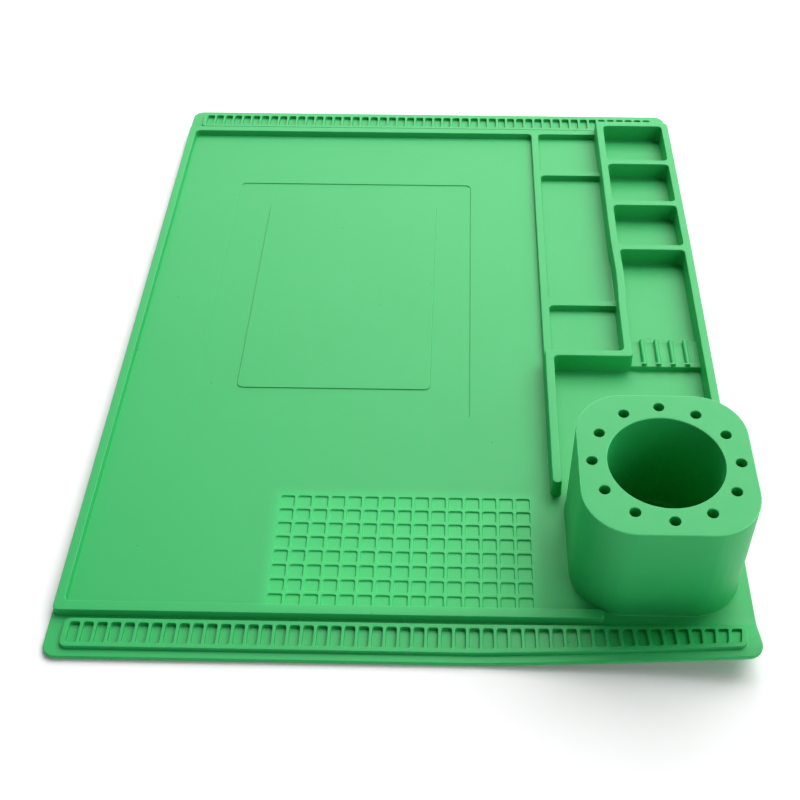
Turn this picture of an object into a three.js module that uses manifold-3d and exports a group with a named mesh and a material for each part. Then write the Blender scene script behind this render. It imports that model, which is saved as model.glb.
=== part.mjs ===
import * as THREE from "three";
import { mergeGeometries, mergeVertices } from "three/addons/utils/BufferGeometryUtils.js";
import Module from "manifold-3d";

// Silicone work mat, one moulding lying flat. Millimetres, +Z up.
// The origin is the centre of the underside. +X runs along the two ladder strips and
// +Y runs from the cup end to the far end.

// Base sheet
const matWidth = 312;
const matLength = 416;
const sheetThickness = 2;
const sheetCornerRadius = 6;
const sheetEdgeBreak = 0.5;

// Section of the raised walls
const lowWallTop = 5.4;
const highWallTop = 12.3;
const wallThickness = 4.4;
const endRimThickness = 5;
const wallDraft = 0.35;
const edgeBreak = 0.6;
const wallInset = 0.8;
const wallEndRadius = 2;
const trayCornerRadius = 2.5;

// Columns of trays along the right side, counted in from the right wall
const deepTrayWidth = 38;
const lowTrayWidth = 37;
const deepTrayCount = 3;
const deepTrayLength = 37;
const nearLowTrayLength = 42;
const longLowTrayLength = 116;

// Bay around the cup: its depth is measured from the near edge of the mat
const bayDepth = 178;
const bayWallLength = 86;
const rightWallPastStep = 100;
const frontRimLength = 242;

// Step with four ribs between the long deep tray and the bay
const stepLength = 20;
const stepRise = 2.5;
const ribCount = 4;
const ribPitch = 7.9;
const ribWidth = 2.4;
const ribRise = 2.2;
const ribEndInset = 0.6;

// Ladder strips along the near and far edges
const stripZone = 21.4;
const stripEdgeMargin = 4.2;
const stripFrameWidth = 14.5;
const stripFrameRise = 1.6;
const stripFrameBorder = 2.6;
const stripFrameRadius = 3;
const stripCellCount = 49;
const stripCellPitch = 6;
const stripCellWidth = 4.6;
const stripCellLength = 10.4;
const stripCellRadius = 1.1;
const stripCellDepth = 1.7;
const stripCellDraft = 0.15;

// Grid of small square pockets in the main tray
const gridColumns = 15;
const gridRows = 8;
const gridPitch = 8;
const gridCellSize = 6.5;
const gridCellDepth = 0.7;
const gridRightMargin = 10.7;
const gridNearMargin = 1;

// Shallow band in the main tray, between an outer and an inner rectangle
const bandLeftMargin = 36.4;
const bandFarMargin = 51.6;
const bandOuterWidth = 142.2;
const bandOuterLength = 197;
const bandWidth = 20.7;
const bandDepth = 0.45;
const bandRadius = 3;

// Cup in the near right corner
const cupHeight = 60;
const cupWidth = 75.4;
const cupLength = 78.2;
const cupCornerRadius = 22.6;
const cupDraft = 0.4;
const cupEdgeBreak = 0.5;
const cupFromRight = 45.1;
const cupFromNear = 65.2;
const cupBoreDiameter = 50.6;
const cupBoreDraft = 0.8;
const cupFloorThickness = 3;
const toolHoleCount = 12;
const toolHoleDiameter = 5;
const toolHoleCircle = 63.8;
const toolHoleDepth = 45;

// Cutters run past the faces that they open
const cutterOverrun = 1;
const rootDepth = 1;

const silicone = new THREE.MeshStandardMaterial({
  color: new THREE.Color("#5cc383"),
  roughness: 0.62,
  metalness: 0,
});

// Places of the walls, worked out from the sizes
const leftFace = -matWidth / 2 + wallInset;
const rightFace = matWidth / 2 - wallInset;
const nearFace = -matLength / 2 + stripZone;
const farFace = matLength / 2 - stripZone;
const trayNear = nearFace + endRimThickness;
const trayFar = farFace - endRimThickness;
const mainTrayLeft = leftFace + wallThickness;
const deepRight = rightFace - wallThickness;
const deepLeft = deepRight - deepTrayWidth;
const lowRight = deepLeft - wallThickness;
const lowLeft = lowRight - lowTrayWidth;
const mainTrayRight = lowLeft - wallThickness;
const bayFar = -matLength / 2 + bayDepth;
const lowTrayNear = bayFar + wallThickness;
const longTrayFar = trayFar - deepTrayCount * (deepTrayLength + wallThickness);
const wallRoot = sheetThickness - rootDepth;
const cupX = matWidth / 2 - cupFromRight;
const cupY = -matLength / 2 + cupFromNear;

// A rounded rectangle seen from above, given by its sides
function rectangle(left, right, near, far, radius, cornerSteps = 3) {
  return { left, right, near, far, radius, cornerSteps };
}

function centred(x, y, width, length, radius, cornerSteps) {
  return rectangle(x - width / 2, x + width / 2, y - length / 2, y + length / 2, radius, cornerSteps);
}

function disc(x, y, diameter, quarterSteps) {
  return { ...centred(x, y, diameter, diameter, diameter / 2, quarterSteps), isRound: true };
}

// The same rectangle with every side moved outwards, or inwards where grow is negative
function grown(area, grow) {
  return {
    ...area,
    left: area.left - grow,
    right: area.right + grow,
    near: area.near - grow,
    far: area.far + grow,
    radius: Math.max(area.radius + grow, 0),
  };
}

function outlinePoints(area) {
  const { left, right, near, far, radius, cornerSteps } = area;
  const corners = [
    [right - radius, far - radius],
    [left + radius, far - radius],
    [left + radius, near + radius],
    [right - radius, near + radius],
  ];
  const lastStep = area.isRound ? cornerSteps - 1 : cornerSteps;
  return corners.flatMap(([x, y], quarter) => {
    if (cornerSteps === 0) {
      return [new THREE.Vector2(x, y)];
    }
    return Array.from({ length: lastStep + 1 }, (unused, step) => {
      const angle = (quarter + step / cornerSteps) * Math.PI / 2;
      return new THREE.Vector2(x + radius * Math.cos(angle), y + radius * Math.sin(angle));
    });
  });
}

// A body with the same outline at every level; each level has a height and a grow
function moulded(area, levels) {
  const outline = outlinePoints(area);
  const outlines = levels.map(({ grow }) => outlinePoints(grown(area, grow)));
  const steps = levels.length - 1;
  const geometry = new THREE.ExtrudeGeometry(new THREE.Shape(outline), {
    depth: steps,
    steps,
    bevelEnabled: false,
  });
  const position = geometry.attributes.position;
  for (let vertex = 0; vertex < position.count; vertex += 1) {
    const level = Math.round(position.getZ(vertex));
    const place = new THREE.Vector2(position.getX(vertex), position.getY(vertex));
    const distances = outline.map((point) => point.distanceTo(place));
    const moved = outlines[level][distances.indexOf(Math.min(...distances))];
    position.setXYZ(vertex, moved.x, moved.y, levels[level].height);
  }
  return geometry;
}

// A wall or block that stands on the sheet, wider at its foot, with its top edges broken
function raised(area, top, draft = wallDraft, edge = edgeBreak, root = wallRoot) {
  return moulded(area, [
    { height: root, grow: draft },
    { height: top - edge, grow: 0 },
    { height: top, grow: -edge },
  ]);
}

// A cutter for a recess, narrower at its floor, with its mouth broken
function recess(area, floor, top, draft = wallDraft, edge = edgeBreak) {
  return moulded(area, [
    { height: floor, grow: -draft },
    { height: top - edge, grow: 0 },
    { height: top, grow: edge },
    { height: top + cutterOverrun, grow: edge },
  ]);
}

function plainCut(area, floor, top, draft = 0) {
  return moulded(area, [
    { height: floor, grow: -draft },
    { height: top + cutterOverrun, grow: 0 },
  ]);
}

const wasm = await Module();
wasm.setup();

function toSolid(geometry) {
  const bare = geometry.clone();
  bare.deleteAttribute("normal");
  bare.deleteAttribute("uv");
  const merged = mergeVertices(bare, 1e-5);
  return new wasm.Manifold(new wasm.Mesh({
    numProp: 3,
    vertProperties: new Float32Array(merged.attributes.position.array),
    triVerts: new Uint32Array(merged.index.array),
  }));
}

function toGeometry(solid) {
  const mesh = solid.getMesh();
  const geometry = new THREE.BufferGeometry();
  geometry.setAttribute("position", new THREE.BufferAttribute(mesh.vertProperties, 3));
  geometry.setIndex(new THREE.BufferAttribute(mesh.triVerts, 1));
  geometry.computeVertexNormals();
  return geometry;
}

function join(geometries) {
  return geometries.map(toSolid).reduce((whole, piece) => whole.add(piece));
}

// Cutters of one pattern never touch each other, so they are one mesh of many bodies
function pattern(geometries) {
  return toSolid(mergeGeometries(geometries));
}

function baseSheet() {
  const area = centred(0, 0, matWidth, matLength, sheetCornerRadius, 4);
  return toSolid(moulded(area, [
    { height: 0, grow: -sheetEdgeBreak / 2 },
    { height: sheetEdgeBreak / 2, grow: 0 },
    { height: sheetThickness - sheetEdgeBreak, grow: 0 },
    { height: sheetThickness, grow: -sheetEdgeBreak },
  ]));
}

// The low walls are one block with its trays sunk into it; the bay is cleared down to the sheet
function lowWalls() {
  const blockRight = lowRight + wallThickness / 2;
  const block = toSolid(raised(rectangle(leftFace, blockRight, nearFace, farFace, wallEndRadius), lowWallTop));
  const longTrayNear = lowTrayNear + nearLowTrayLength + wallThickness;
  const farTrayNear = longTrayNear + longLowTrayLength + wallThickness;
  const lowTrays = [
    [lowTrayNear, lowTrayNear + nearLowTrayLength],
    [longTrayNear, longTrayNear + longLowTrayLength],
    [farTrayNear, trayFar],
  ].map(([near, far]) => rectangle(lowLeft, lowRight, near, far, trayCornerRadius));
  const mainTray = rectangle(mainTrayLeft, mainTrayRight, trayNear, trayFar, trayCornerRadius);
  const trays = [mainTray, ...lowTrays].map((area) => recess(area, sheetThickness, lowWallTop));
  const clearedLeft = mainTrayRight - trayCornerRadius - wallThickness;
  const cleared = rectangle(clearedLeft, blockRight + cutterOverrun, nearFace - cutterOverrun, bayFar, 0, 0);
  return block
    .subtract(pattern(trays))
    .subtract(toSolid(plainCut(cleared, sheetThickness, lowWallTop)))
    .add(toSolid(frontRim()));
}

function frontRim() {
  const area = rectangle(leftFace, leftFace + frontRimLength, nearFace, trayNear, wallEndRadius);
  return raised(area, lowWallTop);
}

// The deep trays, the wall across the low column and the two walls that enclose the bay
function highWalls() {
  const deepBlock = raised(rectangle(lowRight, rightFace, bayFar, farFace, wallEndRadius), highWallTop);
  const crossWall = raised(
    rectangle(mainTrayRight, deepLeft, bayFar, lowTrayNear, wallEndRadius),
    highWallTop,
  );
  const bayWall = raised(
    rectangle(mainTrayRight, lowLeft, bayFar - bayWallLength, lowTrayNear, wallEndRadius),
    highWallTop,
  );
  const rightWall = raised(
    rectangle(deepRight, rightFace, bayFar - rightWallPastStep, longTrayFar, wallEndRadius),
    highWallTop,
  );
  const deepTrays = Array.from({ length: deepTrayCount }, (unused, index) => {
    const far = trayFar - index * (deepTrayLength + wallThickness);
    return rectangle(deepLeft, deepRight, far - deepTrayLength, far, trayCornerRadius);
  });
  const openNear = bayFar - trayCornerRadius - wallThickness;
  const longTray = rectangle(deepLeft, deepRight, openNear, longTrayFar, trayCornerRadius);
  const recesses = [...deepTrays, longTray].map((area) => recess(area, sheetThickness, highWallTop));
  return toSolid(deepBlock)
    .subtract(pattern(recesses))
    .add(join([crossWall, bayWall, rightWall]));
}

function ribbedStep() {
  const overlap = wallThickness / 2;
  const stepTop = sheetThickness + stepRise;
  const block = raised(
    rectangle(deepLeft - overlap, deepRight + overlap, bayFar, bayFar + stepLength, 0, 0),
    stepTop,
  );
  const middle = (deepLeft + deepRight) / 2;
  const ribs = Array.from({ length: ribCount }, (unused, index) => {
    const x = middle + (index - (ribCount - 1) / 2) * ribPitch;
    const area = rectangle(
      x - ribWidth / 2,
      x + ribWidth / 2,
      bayFar + ribEndInset,
      bayFar + stepLength - ribEndInset,
      ribWidth / 3,
    );
    return raised(area, stepTop + ribRise, 0, edgeBreak, sheetThickness);
  });
  return join([block, ...ribs]);
}

function stripCentres() {
  const offset = matLength / 2 - stripEdgeMargin - stripFrameWidth / 2;
  return [-offset, offset];
}

function stripFrames() {
  const cellsWidth = (stripCellCount - 1) * stripCellPitch + stripCellWidth;
  const frames = stripCentres().map((y) => raised(
    centred(0, y, cellsWidth + 2 * stripFrameBorder, stripFrameWidth, stripFrameRadius),
    sheetThickness + stripFrameRise,
  ));
  return join(frames);
}

function stripCells() {
  const top = sheetThickness + stripFrameRise;
  const cells = stripCentres().flatMap((y) => Array.from({ length: stripCellCount }, (unused, index) => {
    const x = (index - (stripCellCount - 1) / 2) * stripCellPitch;
    const area = centred(x, y, stripCellWidth, stripCellLength, stripCellRadius, 1);
    return plainCut(area, top - stripCellDepth, top, stripCellDraft);
  }));
  return pattern(cells);
}

function gridCells() {
  const right = mainTrayRight - gridRightMargin;
  const near = trayNear + gridNearMargin;
  const cells = Array.from({ length: gridColumns * gridRows }, (unused, index) => {
    const cellRight = right - (index % gridColumns) * gridPitch;
    const cellNear = near + Math.floor(index / gridColumns) * gridPitch;
    const area = rectangle(cellRight - gridCellSize, cellRight, cellNear, cellNear + gridCellSize, 0, 0);
    return plainCut(area, sheetThickness - gridCellDepth, sheetThickness);
  });
  return pattern(cells);
}

// The floor inside the band keeps the sheet's own height
function shallowBand() {
  const left = mainTrayLeft + bandLeftMargin;
  const far = trayFar - bandFarMargin;
  const outer = rectangle(left, left + bandOuterWidth, far - bandOuterLength, far, bandRadius, 2);
  const inner = { ...grown(outer, -bandWidth), radius: bandRadius };
  const island = moulded(inner, [
    { height: sheetThickness - bandDepth, grow: bandDepth / 2 },
    { height: sheetThickness, grow: 0 },
    { height: sheetThickness + 2 * cutterOverrun, grow: 0 },
  ]);
  const sunk = plainCut(outer, sheetThickness - bandDepth, sheetThickness, bandDepth / 2);
  return toSolid(sunk).subtract(toSolid(island));
}

function cupBody() {
  const area = centred(cupX, cupY, cupWidth, cupLength, cupCornerRadius, 8);
  return toSolid(raised(area, cupHeight, cupDraft, cupEdgeBreak));
}

function cupOpenings() {
  const bore = recess(
    disc(cupX, cupY, cupBoreDiameter, 12),
    cupFloorThickness,
    cupHeight,
    cupBoreDraft,
    cupEdgeBreak,
  );
  const toolHoles = Array.from({ length: toolHoleCount }, (unused, index) => {
    const angle = index * 2 * Math.PI / toolHoleCount;
    const x = cupX + toolHoleCircle / 2 * Math.cos(angle);
    const y = cupY + toolHoleCircle / 2 * Math.sin(angle);
    return plainCut(disc(x, y, toolHoleDiameter, 3), cupHeight - toolHoleDepth, cupHeight);
  });
  return pattern([bore, ...toolHoles]);
}

function workMat() {
  const solid = baseSheet()
    .add(lowWalls())
    .add(highWalls())
    .add(ribbedStep())
    .add(stripFrames())
    .add(cupBody())
    .subtract(stripCells())
    .subtract(gridCells())
    .subtract(shallowBand())
    .subtract(cupOpenings());
  const mesh = new THREE.Mesh(toGeometry(solid), silicone);
  mesh.name = "work_mat";
  return mesh;
}

const workMatGroup = new THREE.Group();
workMatGroup.add(workMat());

export default workMatGroup;
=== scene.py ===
import math

import bpy
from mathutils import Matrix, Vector


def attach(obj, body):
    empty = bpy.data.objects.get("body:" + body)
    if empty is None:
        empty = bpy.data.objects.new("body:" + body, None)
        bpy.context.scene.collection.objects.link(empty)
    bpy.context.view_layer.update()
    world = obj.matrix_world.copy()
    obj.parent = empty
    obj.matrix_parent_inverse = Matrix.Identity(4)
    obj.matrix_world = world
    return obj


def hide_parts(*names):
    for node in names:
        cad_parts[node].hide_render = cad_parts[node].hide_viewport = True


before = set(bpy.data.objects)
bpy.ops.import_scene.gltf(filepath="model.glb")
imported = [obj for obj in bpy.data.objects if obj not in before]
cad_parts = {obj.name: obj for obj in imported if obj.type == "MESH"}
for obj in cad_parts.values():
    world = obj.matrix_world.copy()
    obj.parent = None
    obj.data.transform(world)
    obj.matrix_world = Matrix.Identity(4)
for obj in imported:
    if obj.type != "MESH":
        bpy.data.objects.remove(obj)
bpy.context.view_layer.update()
print("frame loaded")

# Every piece is modelled in millimetres, in the frame of the CAD model, and scaled to metres last.
metresPerMillimetre = 0.001


def clearSelection():
    active = bpy.context.view_layer.objects.active
    if active is not None and active.mode != "OBJECT":
        bpy.ops.object.mode_set(mode="OBJECT")
    bpy.ops.object.select_all(action="DESELECT")


def workOn(piece):
    clearSelection()
    piece.select_set(True)
    bpy.context.view_layer.objects.active = piece


def pick(piece, kind, test):  # selects vertices, edges or faces by their place or normal, in edit mode
    bpy.ops.object.mode_set(mode="OBJECT")
    mesh = piece.data
    parts = {"VERT": mesh.vertices, "EDGE": mesh.edges, "FACE": mesh.polygons}
    for part in parts.values():
        part.foreach_set("select", [False] * len(part))
    for item in parts[kind]:
        item.select = test(item)
    bpy.context.tool_settings.mesh_select_mode = [name == kind for name in parts]
    bpy.ops.object.mode_set(mode="EDIT")


def grownOutline(corners, grow):  # corners run anticlockwise as (x, y, radius)
    grown = []
    count = len(corners)
    for index, (x, y, radius) in enumerate(corners):
        before = corners[index - 1]
        after = corners[(index + 1) % count]
        inX, inY = x - before[0], y - before[1]
        outX, outY = after[0] - x, after[1] - y
        inLength = math.hypot(inX, inY)
        outLength = math.hypot(outX, outY)
        moveX = inY / inLength + outY / outLength
        moveY = -inX / inLength - outX / outLength
        isConvex = inX * outY - inY * outX > 0
        newRadius = radius + grow if isConvex else radius - grow
        if radius == 0:
            newRadius = 0
        grown.append((x + moveX * grow, y + moveY * grow, max(newRadius, 0)))
    return grown


def isInside(corners, x, y):
    inside = False
    for index, (x1, y1, radius) in enumerate(corners):
        x0, y0 = corners[index - 1][:2]
        if (y0 > y) != (y1 > y) and x < (x1 - x0) * (y - y0) / (y1 - y0) + x0:
            inside = not inside
    return inside


def flatOutline(name, corners, z, cornerSteps=4):  # one flat face with rounded corners
    clearSelection()
    xs = sorted({round(corner[0], 4) for corner in corners})
    ys = sorted({round(corner[1], 4) for corner in corners})
    middle = ((xs[0] + xs[-1]) / 2, (ys[0] + ys[-1]) / 2, z)
    bpy.ops.mesh.primitive_plane_add(size=1, location=middle)
    piece = bpy.context.object
    piece.name = name
    piece.scale = (xs[-1] - xs[0], ys[-1] - ys[0], 1)
    bpy.ops.object.transform_apply(location=True, rotation=True, scale=True)
    bpy.ops.object.mode_set(mode="EDIT")
    for x in xs[1:-1]:
        bpy.ops.mesh.select_all(action="SELECT")
        bpy.ops.mesh.bisect(plane_co=(x, 0, 0), plane_no=(1, 0, 0))
    for y in ys[1:-1]:
        bpy.ops.mesh.select_all(action="SELECT")
        bpy.ops.mesh.bisect(plane_co=(0, y, 0), plane_no=(0, 1, 0))
    if len(corners) > 4:
        pick(piece, "FACE", lambda face: not isInside(corners, face.center.x, face.center.y))
        bpy.ops.mesh.delete(type="FACE")
        bpy.ops.mesh.select_all(action="SELECT")
        bpy.ops.mesh.dissolve_limited(angle_limit=math.radians(1))
    for radius in sorted({round(corner[2], 4) for corner in corners} - {0}):
        places = [corner[:2] for corner in corners if abs(corner[2] - radius) < 0.001]
        pick(piece, "VERT", lambda vertex: any(
            math.hypot(vertex.co.x - x, vertex.co.y - y) < 0.01 for x, y in places))
        bpy.ops.mesh.bevel(offset=radius, offset_type="OFFSET", segments=cornerSteps, affect="VERTICES")
    pick(piece, "FACE", lambda face: True)
    return piece


def rectangle(left, right, near, far, radius):
    return [(left, near, radius), (right, near, radius), (right, far, radius), (left, far, radius)]


def leavingFlat(radius, steps=3):  # a quarter round that starts flat and ends steep
    angles = [math.pi / 2 * step / steps for step in range(steps + 1)]
    places = [(radius * math.sin(angle), radius * (1 - math.cos(angle))) for angle in angles]
    return [(b[0] - a[0], b[1] - a[1]) for a, b in zip(places, places[1:])]


def joinFlat(radius, steps=3):  # a quarter round that starts steep and ends flat
    angles = [math.pi / 2 * step / steps for step in range(steps + 1)]
    places = [(radius * (1 - math.cos(angle)), radius * math.sin(angle)) for angle in angles]
    return [(b[0] - a[0], b[1] - a[1]) for a, b in zip(places, places[1:])]


def extrudeBy(height):
    bpy.ops.mesh.extrude_region_move(TRANSFORM_OT_translate={"value": (0, 0, height)})


def stepIn(steps):
    for inward, travel in steps:
        bpy.ops.mesh.inset(thickness=inward, depth=travel, use_boundary=True, use_even_offset=True)


def closeSolid(piece):
    bpy.ops.mesh.select_all(action="SELECT")
    bpy.ops.mesh.normals_make_consistent(inside=False)
    bpy.ops.object.mode_set(mode="OBJECT")
    return piece


sheetTop = 2
rootZ = 1          # blocks start inside the sheet
belowRoot = 0.5    # cutters of the trays end below the blocks' roots
cutterRise = 1     # cutters start above the face that they open
overlap = 0.03     # keeps faces of two solids from lying in one plane


def raisedBlock(name, corners, top, foot, draft, edge, cornerSteps=4, base=sheetTop, root=rootZ):
    start = base - overlap
    piece = flatOutline(name, grownOutline(corners, draft + foot), root, cornerSteps)
    extrudeBy(start - root)
    steps = leavingFlat(foot)
    steps[0] = (steps[0][0], steps[0][1] + overlap)
    stepIn(steps + [(draft, top - base - foot - edge)] + joinFlat(edge))
    return closeSolid(piece)


def sunkCutter(name, corners, top, floor, foot, draft, edge, cornerSteps=4, throughTo=None):
    piece = flatOutline(name, grownOutline(corners, edge), top + cutterRise, cornerSteps)
    sinkFace(top, floor, foot, draft, edge, throughTo)
    return closeSolid(piece)


def sinkFace(top, floor, foot, draft, edge, throughTo=None):
    bpy.ops.mesh.flip_normals()
    extrudeBy(overlap - cutterRise)
    steps = leavingFlat(edge)
    steps[0] = (steps[0][0], steps[0][1] + overlap)
    ends = joinFlat(foot)
    if throughTo is not None:
        ends[-1] = (ends[-1][0], ends[-1][1] + overlap)
    stepIn(steps + [(draft, top - floor - foot - edge)] + ends)
    if throughTo is not None:
        extrudeBy(throughTo - floor + overlap)


def roundCutter(name, x, y, diameter, sides, top, floor, foot, draft, edge):
    clearSelection()
    bpy.ops.mesh.primitive_circle_add(
        vertices=sides, radius=diameter / 2 + edge, fill_type="NGON", location=(x, y, top + cutterRise))
    piece = bpy.context.object
    piece.name = name
    bpy.ops.object.transform_apply(location=True, rotation=True, scale=True)
    pick(piece, "FACE", lambda face: True)
    sinkFace(top, floor, foot, draft, edge)
    return closeSolid(piece)


def copied(piece, x, y):
    twin = piece.copy()
    twin.data = piece.data.copy()
    bpy.context.collection.objects.link(twin)
    workOn(twin)
    twin.location = (x, y, 0)
    bpy.ops.object.transform_apply(location=True, rotation=False, scale=False)
    return twin


def arrayed(piece, columns, columnPitch, rows=1, rowPitch=0):
    workOn(piece)
    for count, offset in ((columns, (columnPitch, 0, 0)), (rows, (0, rowPitch, 0))):
        if count > 1:
            row = piece.modifiers.new("row", "ARRAY")
            row.count = count
            row.use_relative_offset = False
            row.use_constant_offset = True
            row.constant_offset_displace = offset
            bpy.ops.object.modifier_apply(modifier=row.name)
    return piece


def joined(pieces):
    clearSelection()
    for piece in pieces:
        piece.select_set(True)
    bpy.context.view_layer.objects.active = pieces[0]
    if len(pieces) > 1:
        bpy.ops.object.join()
    return pieces[0]


def combine(piece, other, operation):
    workOn(piece)
    cut = piece.modifiers.new("combine", "BOOLEAN")
    cut.object = other
    cut.operation = operation
    cut.solver = "EXACT"
    bpy.ops.object.modifier_apply(modifier=cut.name)
    bpy.data.objects.remove(other)
    return piece


# Camera
cameraLook = {
    "lens": 53.475,
    "place": (20.15, -474.37, 446.53),
    "turn": (43.423, -0.057, 1.113),
    "shift": -0.05,
}

bpy.ops.object.camera_add(
    location=[value * metresPerMillimetre for value in cameraLook["place"]],
    rotation=[math.radians(value) for value in cameraLook["turn"]])
camera = bpy.context.object
camera.name = "photo_camera"
camera.data.lens = cameraLook["lens"]
camera.data.sensor_width = 36
camera.data.shift_x = cameraLook["shift"]
camera.data.clip_start = 0.01
camera.data.clip_end = 20
bpy.context.scene.camera = camera
print("camera placed")

# Base sheet
sheet = {
    "width": 312, "length": 416, "thickness": 2, "cornerRadius": 6, "cornerSteps": 8,
    "topEdge": 0.5, "underEdge": 0.25,
}


def makeSheet():
    halfWidth, halfLength = sheet["width"] / 2, sheet["length"] / 2
    corners = rectangle(-halfWidth, halfWidth, -halfLength, halfLength, sheet["cornerRadius"])
    piece = flatOutline("silicone_mat", corners, sheet["underEdge"], sheet["cornerSteps"])
    extrudeBy(sheet["thickness"] - sheet["topEdge"] - sheet["underEdge"])
    stepIn(joinFlat(sheet["topEdge"]))
    pick(piece, "FACE", lambda face: face.normal.z < 0 and abs(face.center.z - sheet["underEdge"]) < 0.01)
    stepIn([(sheet["underEdge"], sheet["underEdge"])])
    return closeSolid(piece)


mat = makeSheet()
print("sheet made", len(mat.data.polygons))

# Low walls: the rim of the main tray and the three trays beside it
lowWalls = {
    "left": -155.2, "right": 110.6, "near": -186.6, "far": 186.6, "top": 5.4,
    "trayLeft": -150.8, "trayRight": 67, "trayNear": -181.6, "trayFar": 181.6,
    "rimEnd": 86.8, "bayFar": -27,
    "columnLeft": 71.4, "columnRight": 109.4,
    "columnTrays": ((-26.4, 16.4), (20.8, 136.8), (141.2, 181.6)),
    "foot": 0.25, "draft": 0.25, "edge": 0.4, "cornerRadius": 2.5, "outerRadius": 2.5, "rimEndRadius": 2.3,
}


def makeLowWalls():
    low = lowWalls
    outer, tray, end = low["outerRadius"], low["cornerRadius"], low["rimEndRadius"]
    corners = [
        (low["left"], low["near"], outer), (low["rimEnd"], low["near"], end),
        (low["rimEnd"], low["trayNear"], end), (low["trayLeft"], low["trayNear"], tray),
        (low["trayLeft"], low["trayFar"], tray), (low["trayRight"], low["trayFar"], tray),
        (low["trayRight"], low["bayFar"], 0), (low["right"], low["bayFar"], 0),
        (low["right"], low["far"], 0), (low["left"], low["far"], outer),
    ]
    section = (low["foot"], low["draft"], low["edge"])
    piece = raisedBlock("low_walls", corners, low["top"], *section)
    trays = [sunkCutter(
        "low_tray", rectangle(low["columnLeft"], low["columnRight"], near, far, low["cornerRadius"]),
        low["top"], sheetTop, *section, throughTo=belowRoot) for near, far in low["columnTrays"]]
    return combine(piece, joined(trays), "DIFFERENCE")


# High walls: the deep trays on the right, the wall across and the two walls of the bay
highWalls = {
    "right": 155.2, "far": 186.75, "top": 12.3, "wallLeft": 108.4,
    "deepLeft": 112.8, "deepRight": 150.8, "longTrayFar": 57.4,
    "deepTrays": ((61.8, 98.8), (103.2, 140.2), (144.6, 181.6)),
    "crossNear": -30, "crossFar": -25.6, "bayWallLeft": 66.9, "bayWallRight": 71.4,
    "bayWallEnd": -116, "rightWallEnd": -130,
    "foot": 0.4, "draft": 0.35, "edge": 0.5,
    "cornerRadius": 2.5, "outerRadius": 4.5, "endRadius": 2, "joinRadius": 1,
}


def makeHighWalls():
    high = highWalls
    tray, end = high["cornerRadius"], high["endRadius"]
    corners = [
        (high["bayWallLeft"], high["bayWallEnd"], end), (high["bayWallRight"], high["bayWallEnd"], end),
        (high["bayWallRight"], high["crossNear"], tray), (high["deepLeft"], high["crossNear"], end),
        (high["deepLeft"], high["longTrayFar"], tray), (high["deepRight"], high["longTrayFar"], tray),
        (high["deepRight"], high["rightWallEnd"], end), (high["right"], high["rightWallEnd"], end),
        (high["right"], high["far"], high["outerRadius"]), (high["wallLeft"], high["far"], 0),
        (high["wallLeft"], high["crossFar"], tray),
        (high["bayWallLeft"], high["crossFar"], high["joinRadius"]),
    ]
    section = (high["foot"], high["draft"], high["edge"])
    piece = raisedBlock("high_walls", corners, high["top"], *section)
    trays = [sunkCutter(
        "deep_tray", rectangle(high["deepLeft"], high["deepRight"], near, far, high["cornerRadius"]),
        high["top"], sheetTop, *section, throughTo=belowRoot) for near, far in high["deepTrays"]]
    return combine(piece, joined(trays), "DIFFERENCE")


mat = combine(mat, makeLowWalls(), "UNION")
mat = combine(mat, makeHighWalls(), "UNION")
print("walls joined", len(mat.data.polygons))

# Step with four ribs, between the long deep tray and the bay
step = {
    "left": 111.5, "right": 152, "near": -29.95, "far": -10, "top": 4.5,
    "foot": 0.3, "draft": 0.15, "edge": 0.6,
    "ribs": 4, "middle": 131.8, "ribPitch": 7.9, "ribWidth": 2.4, "ribRadius": 1.1,
    "ribNear": -29.6, "ribFar": -10.4, "ribTop": 6.7, "ribFoot": 0.45, "ribDraft": 0.1, "ribEdge": 1.05,
}


def makeStep():
    block = raisedBlock(
        "step", rectangle(step["left"], step["right"], step["near"], step["far"], 0),
        step["top"], step["foot"], step["draft"], step["edge"])
    left = step["middle"] - (step["ribs"] - 1) / 2 * step["ribPitch"]
    half = step["ribWidth"] / 2
    ribs = raisedBlock(
        "ribs", rectangle(left - half, left + half, step["ribNear"], step["ribFar"], step["ribRadius"]),
        step["ribTop"], step["ribFoot"], step["ribDraft"], step["ribEdge"],
        base=step["top"], root=step["top"] - 1)
    return combine(block, arrayed(ribs, step["ribs"], step["ribPitch"]), "UNION")


mat = combine(mat, makeStep(), "UNION")
print("step joined", len(mat.data.polygons))

# Ladder strips along the near and far edges
strip = {
    "centre": 196.55, "width": 297.8, "length": 14.5, "radius": 3, "top": 3.6,
    "foot": 0.15, "draft": 0.1, "edge": 0.35,
    "cells": 49, "pitch": 6, "cellWidth": 4.6, "cellLength": 10.4, "cellRadius": 1.1, "floor": 1.9,
    "cellFoot": 0.25, "cellDraft": 0.1, "cellEdge": 0.2,
}


def makeStripFrames():
    half, reach = strip["width"] / 2, strip["length"] / 2
    return joined([raisedBlock(
        "strip_frame", rectangle(-half, half, y - reach, y + reach, strip["radius"]),
        strip["top"], strip["foot"], strip["draft"], strip["edge"],
    ) for y in (-strip["centre"], strip["centre"])])


def makeStripCells():
    left = -(strip["cells"] - 1) / 2 * strip["pitch"]
    half, reach = strip["cellWidth"] / 2, strip["cellLength"] / 2
    cell = sunkCutter(
        "strip_cells", rectangle(left - half, left + half, -reach, reach, strip["cellRadius"]),
        strip["top"], strip["floor"], strip["cellFoot"], strip["cellDraft"], strip["cellEdge"], cornerSteps=3)
    row = arrayed(cell, strip["cells"], strip["pitch"])
    farRow = copied(row, 0, strip["centre"])
    nearRow = copied(row, 0, -strip["centre"])
    bpy.data.objects.remove(row)
    return joined([nearRow, farRow])


mat = combine(mat, makeStripFrames(), "UNION")
print("strips joined", len(mat.data.polygons))

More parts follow.
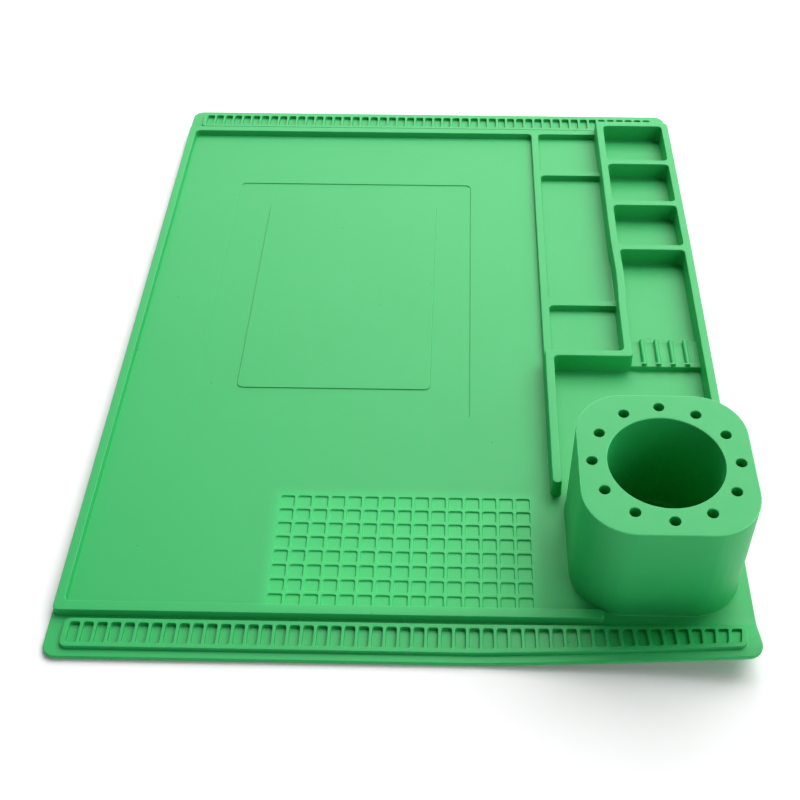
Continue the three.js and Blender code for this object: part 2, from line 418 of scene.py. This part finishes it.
# Shallow band in the main tray, between an outer and an inner outline
band = {
    "left": -114.4, "right": 27.8, "near": -67, "far": 130, "width": 20.7, "radius": 3,
    "floor": 1.55, "foot": 0.2, "draft": 0.02, "edge": 0.2, "islandRise": 2,
}


def makeBand():
    outer = sunkCutter(
        "band", rectangle(band["left"], band["right"], band["near"], band["far"], band["radius"]),
        sheetTop, band["floor"], band["foot"], band["draft"], band["edge"])
    inner = grownOutline(rectangle(band["left"], band["right"], band["near"], band["far"], 0), -band["width"])
    inner = [(x, y, band["radius"]) for x, y, radius in inner]
    island = flatOutline("island", grownOutline(inner, band["foot"] + band["draft"]), rootZ)
    extrudeBy(band["floor"] - overlap - rootZ)
    steps = leavingFlat(band["foot"])
    steps[0] = (steps[0][0], steps[0][1] + overlap)
    ends = joinFlat(band["edge"])
    ends[-1] = (ends[-1][0], ends[-1][1] + overlap)
    stepIn(steps + [(band["draft"], sheetTop - band["floor"] - band["foot"] - band["edge"])] + ends)
    extrudeBy(band["islandRise"])
    return combine(outer, closeSolid(island), "DIFFERENCE")


# Grid of small square pockets
grid = {
    "columns": 15, "rows": 8, "pitch": 8, "size": 6.5, "left": -62.2, "near": -180.6,
    "floor": 1.3, "radius": 0.8, "foot": 0.3, "draft": 0.1, "edge": 0.3,
}


def makeGrid():
    area = rectangle(grid["left"], grid["left"] + grid["size"], grid["near"], grid["near"] + grid["size"],
                     grid["radius"])
    cell = sunkCutter(
        "grid_cells", area, sheetTop, grid["floor"], grid["foot"], grid["draft"], grid["edge"], cornerSteps=2)
    return arrayed(cell, grid["columns"], grid["pitch"], grid["rows"], grid["pitch"])


mat = combine(mat, makeStripCells(), "DIFFERENCE")
mat = combine(mat, makeGrid(), "DIFFERENCE")
mat = combine(mat, makeBand(), "DIFFERENCE")
print("cells cut", len(mat.data.polygons))

# Cup with its bore and the ring of tool holes
cup = {
    "x": 110.9, "y": -142.8, "width": 75.4, "length": 78.2, "radius": 22.6, "top": 60,
    "cornerSteps": 14, "foot": 0.6, "draft": 0.4, "edge": 0.5,
    "bore": 50.6, "boreSides": 96, "boreFloor": 3, "boreFoot": 1.5, "boreDraft": 0.8, "boreEdge": 0.35,
    "holes": 12, "hole": 5, "holeSides": 24, "holeCircle": 63.8,
    "holeFloor": 15, "holeFoot": 0.6, "holeDraft": 0.1, "holeEdge": 0.25,
}


def makeCup():
    halfWidth, halfLength = cup["width"] / 2, cup["length"] / 2
    area = rectangle(cup["x"] - halfWidth, cup["x"] + halfWidth,
                     cup["y"] - halfLength, cup["y"] + halfLength, cup["radius"])
    return raisedBlock("cup", area, cup["top"], cup["foot"], cup["draft"], cup["edge"], cup["cornerSteps"])


def makeCupOpenings():
    bore = roundCutter("bore", cup["x"], cup["y"], cup["bore"], cup["boreSides"], cup["top"],
                       cup["boreFloor"], cup["boreFoot"], cup["boreDraft"], cup["boreEdge"])
    hole = roundCutter("hole", 0, 0, cup["hole"], cup["holeSides"], cup["top"],
                       cup["holeFloor"], cup["holeFoot"], cup["holeDraft"], cup["holeEdge"])
    reach = cup["holeCircle"] / 2
    holes = [copied(
        hole,
        cup["x"] + reach * math.cos(math.tau * index / cup["holes"]),
        cup["y"] + reach * math.sin(math.tau * index / cup["holes"])) for index in range(cup["holes"])]
    bpy.data.objects.remove(hole)
    return joined([bore] + holes)


mat = combine(mat, makeCup(), "UNION")
mat = combine(mat, makeCupOpenings(), "DIFFERENCE")
print("cup joined", len(mat.data.polygons))

# Lattice of cuts, so that the sheet can bend
lattice = {
    "pitch": 13, "columns": 23, "rows": 31, "firstX": -142.63, "firstY": -194.59,
    "corner": (20, -160), "cornerColumns": 26, "cornerPitch": 5, "cornerX": 30.13,
    "cornerY": (-204.43, -200.93, -189.93, -187.43, -185.33),
}


def cutAcross(piece, place, direction, test):
    pick(piece, "FACE", test)
    bpy.ops.mesh.bisect(plane_co=place, plane_no=direction)


def cutLattice(piece):
    workOn(piece)
    pitch, (cornerX, cornerY) = lattice["pitch"], lattice["corner"]
    for column in range(lattice["columns"]):
        cutAcross(piece, (lattice["firstX"] + column * pitch, 0, 0), (1, 0, 0), lambda face: True)
    for row in range(lattice["rows"]):
        cutAcross(piece, (0, lattice["firstY"] + row * pitch, 0), (0, 1, 0), lambda face: True)

    def isAtCorner(face):
        return face.center.y < cornerY and face.center.x > cornerX

    for column in range(lattice["cornerColumns"]):
        place = (lattice["cornerX"] + column * lattice["cornerPitch"], 0, 0)
        cutAcross(piece, place, (1, 0, 0), isAtCorner)
    for y in lattice["cornerY"]:
        cutAcross(piece, (0, y, 0), (0, 1, 0), isAtCorner)
    bpy.ops.object.mode_set(mode="OBJECT")


cutLattice(mat)
print("lattice cut", len(mat.data.polygons))


def bell(distance, width):
    return math.exp(-(distance / width) ** 2 / 2)


def smoothStep(value):
    value = min(max(value, 0), 1)
    return value * value * (3 - 2 * value)


bend = {  # how the soft mat lies: near right corner curled up, right edge drawn in, one wall bulged
    "curlLeft": 30, "curlStart": -183.2, "curlReach": 20, "curlRise": 0.0235, "curlPower": 1.25,
    "drawFar": 0.8, "drawStart": 60, "drawGrowth": 0.0075, "drawCorner": 1.6,
    "drawLeft": 112, "drawRight": 152, "cupSide": 149.7, "cupFar": -100, "cupBlend": 30,
    "bulge": 1, "bulgeX": 110.6, "bulgeY": 36, "bulgeWidth": 6, "bulgeLength": 14, "bulgeBase": 2.4,
}


def curlAndWave(piece):
    rightEdge = sheet["width"] / 2
    for vertex in piece.data.vertices:
        place = vertex.co
        x, y, z = place
        share = smoothStep((bend["curlStart"] - y) / bend["curlReach"])
        if x > bend["curlLeft"]:
            place.z += share * bend["curlRise"] * (x - bend["curlLeft"]) ** bend["curlPower"]
        draw = bend["drawFar"] + bend["drawGrowth"] * max(bend["drawStart"] - y, 0)
        draw += bend["drawCorner"] * share
        wide = (x - bend["drawLeft"]) / (bend["drawRight"] - bend["drawLeft"])
        beside = (x - bend["cupSide"]) / (rightEdge - bend["cupSide"])
        clear = max(smoothStep((y - bend["cupFar"]) / bend["cupBlend"]), share)
        place.x -= draw * (clear * min(max(wide, 0), 1) + (1 - clear) * max(beside, 0))
        if z > bend["bulgeBase"]:
            place.x += bend["bulge"] * bell(x - bend["bulgeX"], bend["bulgeWidth"]) * bell(
                y - bend["bulgeY"], bend["bulgeLength"])


curlAndWave(mat)
print("mat bent")


finish = {"mergeDistance": 0.002, "sliver": 0.001, "smoothAngle": 40, "faceWeight": 80}


def finishMesh(piece):
    workOn(piece)
    bpy.ops.object.mode_set(mode="EDIT")
    bpy.ops.mesh.select_all(action="SELECT")
    bpy.ops.mesh.remove_doubles(threshold=finish["mergeDistance"])
    bpy.ops.mesh.quads_convert_to_tris(quad_method="BEAUTY", ngon_method="BEAUTY")
    bpy.ops.mesh.dissolve_degenerate(threshold=finish["sliver"])
    bpy.ops.mesh.normals_make_consistent(inside=False)
    bpy.ops.object.mode_set(mode="OBJECT")
    piece.scale = [metresPerMillimetre] * 3
    bpy.ops.object.transform_apply(location=True, rotation=True, scale=True)
    bpy.ops.object.shade_smooth_by_angle(angle=math.radians(finish["smoothAngle"]))
    weigh = piece.modifiers.new("even_faces", "WEIGHTED_NORMAL")
    weigh.keep_sharp = True
    weigh.weight = finish["faceWeight"]
    bpy.ops.object.modifier_apply(modifier=weigh.name)


finishMesh(mat)
print("mat finished", len(mat.data.polygons))


class Signal:  # a value or colour in a material, so that shader maths reads as maths
    def __init__(self, tree, socket=None):
        self.tree = tree
        self.socket = socket

    def node(self, kind, settings, inputs, output=0):
        made = self.tree.nodes.new("ShaderNode" + kind)
        for name, value in settings.items():
            setattr(made, name, value)
        for name, value in inputs.items():
            if isinstance(value, Signal):
                self.tree.links.new(value.socket, made.inputs[name])
            else:
                made.inputs[name].default_value = value
        return Signal(self.tree, made.outputs[output])

    def maths(self, operation, first, second):
        return self.node("Math", {"operation": operation}, {0: first, 1: second})

    def __add__(self, other):
        return self.maths("ADD", self, other)

    def __radd__(self, other):
        return self.maths("ADD", other, self)

    def __sub__(self, other):
        return self.maths("SUBTRACT", self, other)

    def __mul__(self, other):
        return self.maths("MULTIPLY", self, other)

    def __rmul__(self, other):
        return self.maths("MULTIPLY", other, self)

    def __lt__(self, other):
        return self.maths("LESS_THAN", self, other)


def newMaterial(name):
    material = bpy.data.materials.new(name)
    material.use_nodes = True
    tree = material.node_tree
    return material, Signal(tree), tree.nodes["Principled BSDF"]


silicone = {
    "colour": (0.013, 0.382, 0.092, 1), "mottle": (0.018, 0.415, 0.106, 1),
    "clouds": {"Scale": 14, "Detail": 3, "Roughness": 0.55},
    "blotch": {"Scale": 260, "Detail": 2, "Roughness": 0.5},
    "grain": {"Scale": 2400, "Detail": 2, "Roughness": 0.6},
    # painted light: the whole area of the small pocket grid, bars and floors alike, is painted a paler green
    "gridPaintedLight": (0.023, 0.525, 0.13, 1), "gridPaintedLightShare": 0.75, "gridPaintedLightFade": 0.004,
    "gridPaintedLightArea": ((-0.0645, 0.0585), (-0.183, -0.1155)),
    # painted highlight: a pale green band painted on the cup's rounded top edges, the rims of the bore and
    # the tool holes
    "edge": (0.1, 0.7, 0.24, 1), "rimHighlightShare": 0.85, "rimHighlightFade": 0.00003,
    "rimHighlightLow": 0.0595, "rimHighlightHigh": 0.05997,
    "speck": (0.008, 0.14, 0.04, 1), "speckShare": 0.7, "speckPitch": 0.016, "speckSize": 0.00045,
    "roughness": 0.48, "roughnessSpread": 0.12, "specular": 0.45,
    "grainHeight": 0.00003, "grainStrength": 0.5,
}


def softBand(maker, value, low, high, fade):  # 1 between low and high, with soft ends
    smooth = {"interpolation_type": "SMOOTHSTEP"}
    rise = maker.node("MapRange", smooth, {"Value": value, "From Min": low - fade, "From Max": low + fade})
    fall = maker.node("MapRange", smooth, {"Value": value, "From Min": high + fade, "From Max": high - fade})
    return rise * fall


def mixColours(maker, factor, first, second):
    return maker.node("Mix", {"data_type": "RGBA"}, {"Factor": factor, 6: first, 7: second}, 2)


def siliconeMaterial():
    material, maker, shader = newMaterial("moulded_silicone")
    place = maker.node("TexCoord", {}, {}, "Object")
    x, y, z = [maker.node("SeparateXYZ", {}, {"Vector": place}, axis) for axis in "XYZ"]
    clouds, blotch, grain = [
        maker.node("TexNoise", {}, {"Vector": place, **silicone[name]})
        for name in ("clouds", "blotch", "grain")]
    mottle = clouds * 0.9 + blotch * 0.3 + grain * 0.2 - 0.2
    colour = mixColours(maker, mottle, silicone["colour"], silicone["mottle"])
    (left, right), (near, far) = silicone["gridPaintedLightArea"]
    fade = silicone["gridPaintedLightFade"]
    # painted light: a soft mask over the pocket grid area mixes in the paler green
    gridPaintedLight = softBand(maker, x, left, right, fade) * softBand(maker, y, near, far, fade)
    colour = mixColours(maker, gridPaintedLight * silicone["gridPaintedLightShare"], colour, silicone["gridPaintedLight"])
    # painted highlight: the heights just under the cup's top, where its edges round over, are painted pale
    # green
    cupRimPaintedHighlight = softBand(maker, z, silicone["rimHighlightLow"], silicone["rimHighlightHigh"], silicone["rimHighlightFade"])
    colour = mixColours(maker, cupRimPaintedHighlight * silicone["rimHighlightShare"], colour, silicone["edge"])
    cells = maker.node("TexVoronoi", {}, {"Vector": place, "Scale": 1 / silicone["speckPitch"]}, "Distance")
    speck = cells < silicone["speckSize"] / silicone["speckPitch"]
    colour = mixColours(maker, speck * silicone["speckShare"], colour, silicone["speck"])
    maker.tree.links.new(colour.socket, shader.inputs["Base Color"])
    roughness = silicone["roughness"] + silicone["roughnessSpread"] * blotch
    maker.tree.links.new(roughness.socket, shader.inputs["Roughness"])
    shader.inputs["Specular IOR Level"].default_value = silicone["specular"]
    bump = maker.node("Bump", {}, {
        "Strength": silicone["grainStrength"], "Distance": silicone["grainHeight"],
        "Height": grain + blotch * 1.5})
    maker.tree.links.new(bump.socket, shader.inputs["Normal"])
    return material


mat.data.materials.clear()
mat.data.materials.append(siliconeMaterial())
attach(mat, "root")
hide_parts("work_mat")

# Floor and lights
studio = {
    "floorSize": 12, "floorDrop": 0.0002, "floorShade": 0.95, "floorRoughness": 0.9,
    "fill": 0.04, "distance": 2, "boxSize": 1.4,
    "softboxes": {  # compass angle clockwise from straight behind, height angle, watts
        "back_low": (0, 20, 14), "back_high": (0, 50, 23), "right_high": (75, 50, 10),
        "back_right_low": (45, 20, 15), "back_right_high": (45, 50, 21),
        "front_right_low": (135, 20, 14), "front_left_low": (225, 20, 4), "back_left_low": (315, 20, 7),
    },
}


def makeFloor():
    clearSelection()
    bpy.ops.mesh.primitive_plane_add(size=studio["floorSize"], location=(0, 0, -studio["floorDrop"]))
    floor = bpy.context.object
    floor.name = "pale_floor"
    material, maker, shader = newMaterial("pale_floor")
    shade = studio["floorShade"]
    shader.inputs["Base Color"].default_value = (shade, shade, shade, 1)
    shader.inputs["Roughness"].default_value = studio["floorRoughness"]
    floor.data.materials.append(material)


def makeLights():
    for name, (compass, height, watts) in studio["softboxes"].items():
        compass, height = math.radians(compass), math.radians(height)
        towards = Vector((math.sin(compass) * math.cos(height), math.cos(compass) * math.cos(height),
                          math.sin(height)))
        bpy.ops.object.light_add(type="AREA", location=towards * studio["distance"])
        lamp = bpy.context.object
        lamp.name = name
        lamp.data.size = studio["boxSize"]
        lamp.data.energy = watts
        lamp.rotation_euler = (-towards).to_track_quat("-Z", "Y").to_euler()
    world = bpy.data.worlds.new("studio")
    world.use_nodes = True
    world.node_tree.nodes["Background"].inputs["Color"].default_value = (1, 1, 1, 1)
    world.node_tree.nodes["Background"].inputs["Strength"].default_value = studio["fill"]
    bpy.context.scene.world = world
    bpy.context.scene.view_settings.view_transform = "Standard"


makeFloor()
makeLights()
print("lights placed")
